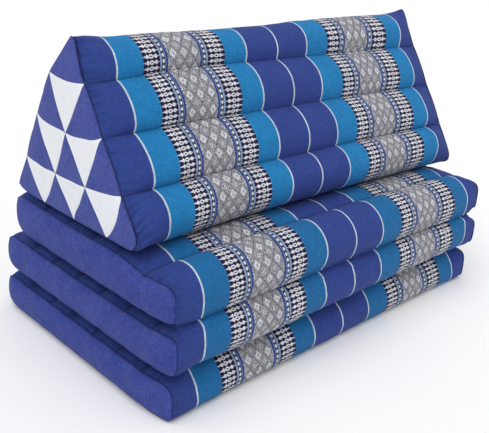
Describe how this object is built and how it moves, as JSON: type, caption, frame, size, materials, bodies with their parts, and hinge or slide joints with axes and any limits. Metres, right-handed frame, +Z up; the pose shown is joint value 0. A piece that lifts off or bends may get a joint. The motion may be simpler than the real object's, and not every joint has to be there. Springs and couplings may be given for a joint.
{
  "type": "thai triangle cushion with folding mats",
  "caption": "Stuffed triangular back cushion hinged to mats of sewn tubes, folded into a low seat, in patterned blue cotton.",
  "frame": {"origin": "middle of the folded cushion's footprint, on the floor", "axes": "+X along the sewn tubes, the width; -Y towards the front, where the fold between the two upper mats shows; +Z up"},
  "size_m": [0.8266, 0.5026, 0.5338],
  "materials": {
    "woven_cover": "matt woven cotton in bands of royal blue, turquoise and white-on-blue brocade",
    "patchwork": "matt cotton pieced from blue and off-white triangles",
    "end_cotton": "matt plain-weave cotton, slightly dusty on its swell",
    "hinge_cloth": "matt plain-weave cotton"
  },
  "bodies": {
    "root": {"triangle_cushion": "woven_cover", "triangle_end_left": "patchwork", "triangle_end_right": "patchwork", "mat_bottom": "woven_cover", "mat_middle": "woven_cover", "mat_top": "woven_cover", "mat_bottom_end_left": "end_cotton", "mat_bottom_end_right": "end_cotton", "mat_middle_end_left": "end_cotton", "mat_middle_end_right": "end_cotton", "mat_top_end_left": "end_cotton", "mat_top_end_right": "end_cotton", "hinge_back_upper": "hinge_cloth", "hinge_front": "hinge_cloth", "hinge_back_lower": "hinge_cloth"}
  },
  "joints": []
}
